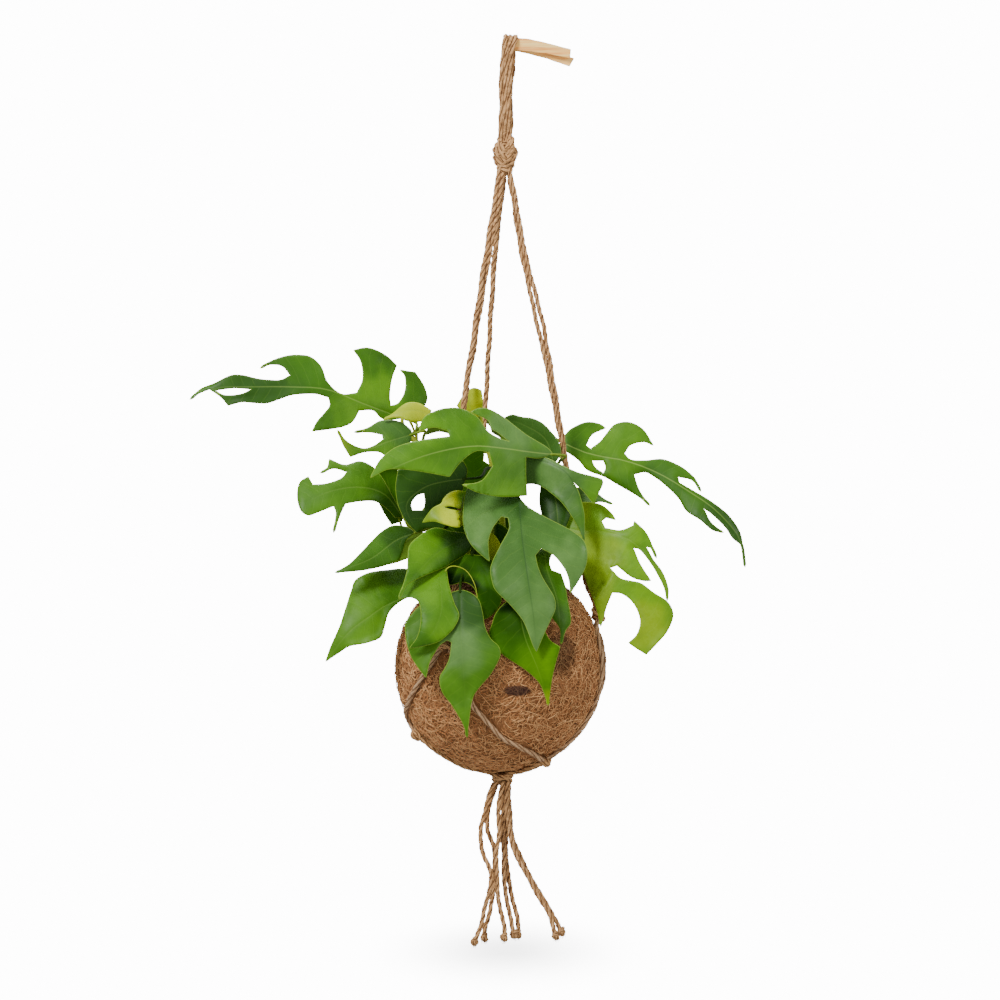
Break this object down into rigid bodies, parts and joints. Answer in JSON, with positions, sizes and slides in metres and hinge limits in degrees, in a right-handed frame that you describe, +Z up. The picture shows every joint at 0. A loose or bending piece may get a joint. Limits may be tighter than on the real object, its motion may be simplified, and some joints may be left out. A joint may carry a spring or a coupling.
{
  "type": "hanging coir ball plant",
  "caption": "Split-leaf climbing plant rooted in a coconut fibre ball, carried in a knotted jute cord hanger that loops over a short wooden peg.",
  "frame": {"origin": "top of the wooden peg, where the loop of the hanger bears on it", "axes": "+Z up, +X to the right as the front is seen, the front faces -Y"},
  "size_m": [0.476, 0.2162, 0.7854],
  "materials": {
    "jute_cord": "rough twisted plant fibre",
    "peg_wood": "pale unfinished wood with fine grain",
    "coir_fibre": "matted coconut fibre",
    "soil": "crumbly dark potting soil",
    "stem_green": "smooth satin plant stem",
    "leaf_green": "waxy satin leaf with pale ribs",
    "leaf_grey": "waxy satin leaf, grey-green",
    "leaf_bright": "waxy satin leaf, light yellow-green",
    "leaf_young": "young soft leaf, yellow-green"
  },
  "bodies": {
    "root": {"peg_front_slat": "peg_wood", "peg_back_slat": "peg_wood", "top_knot": "jute_cord", "hanger_loop": "jute_cord", "leg_front_left": "jute_cord", "leg_back": "jute_cord", "leg_right": "jute_cord", "net_cord_1": "jute_cord", "net_cord_2": "jute_cord", "net_cord_3": "jute_cord", "net_cord_4": "jute_cord", "net_cord_5": "jute_cord", "net_cord_6": "jute_cord", "lower_knot_left": "jute_cord", "lower_knot_right": "jute_cord", "lower_knot_back": "jute_cord", "base_knot": "jute_cord", "tassel_1": "jute_cord", "tassel_2": "jute_cord", "tassel_3": "jute_cord", "tassel_4": "jute_cord", "tassel_5": "jute_cord", "tassel_6": "jute_cord", "tassel_7": "jute_cord", "coir_ball": "coir_fibre", "potting_soil": "soil", "leaf_01": "leaf_green", "leaf_02": "leaf_green", "leaf_03": "leaf_green", "leaf_04": "leaf_grey", "leaf_05": "leaf_grey", "leaf_06": "leaf_green", "leaf_07": "leaf_green", "leaf_08": "leaf_green", "leaf_09": "leaf_bright", "leaf_10": "leaf_green", "leaf_11": "leaf_green", "leaf_12": "leaf_green", "leaf_13": "leaf_green", "leaf_14": "leaf_young", "leaf_15": "leaf_young", "leaf_16": "leaf_young", "leaf_17": "leaf_grey", "leaf_18": "leaf_bright", "leaf_19": "leaf_green", "leaf_20": "leaf_green", "leaf_21": "leaf_grey", "leaf_22": "leaf_grey", "leaf_23": "leaf_green", "leaf_24": "leaf_grey", "leaf_25": "leaf_bright", "leaf_26": "leaf_green", "leaf_27": "leaf_green", "leaf_28": "leaf_grey", "leaf_29": "leaf_grey", "stem_left": "stem_green", "stem_middle": "stem_green", "stem_right": "stem_green", "stem_front": "stem_green", "stem_back": "stem_green"}
  },
  "joints": []
}
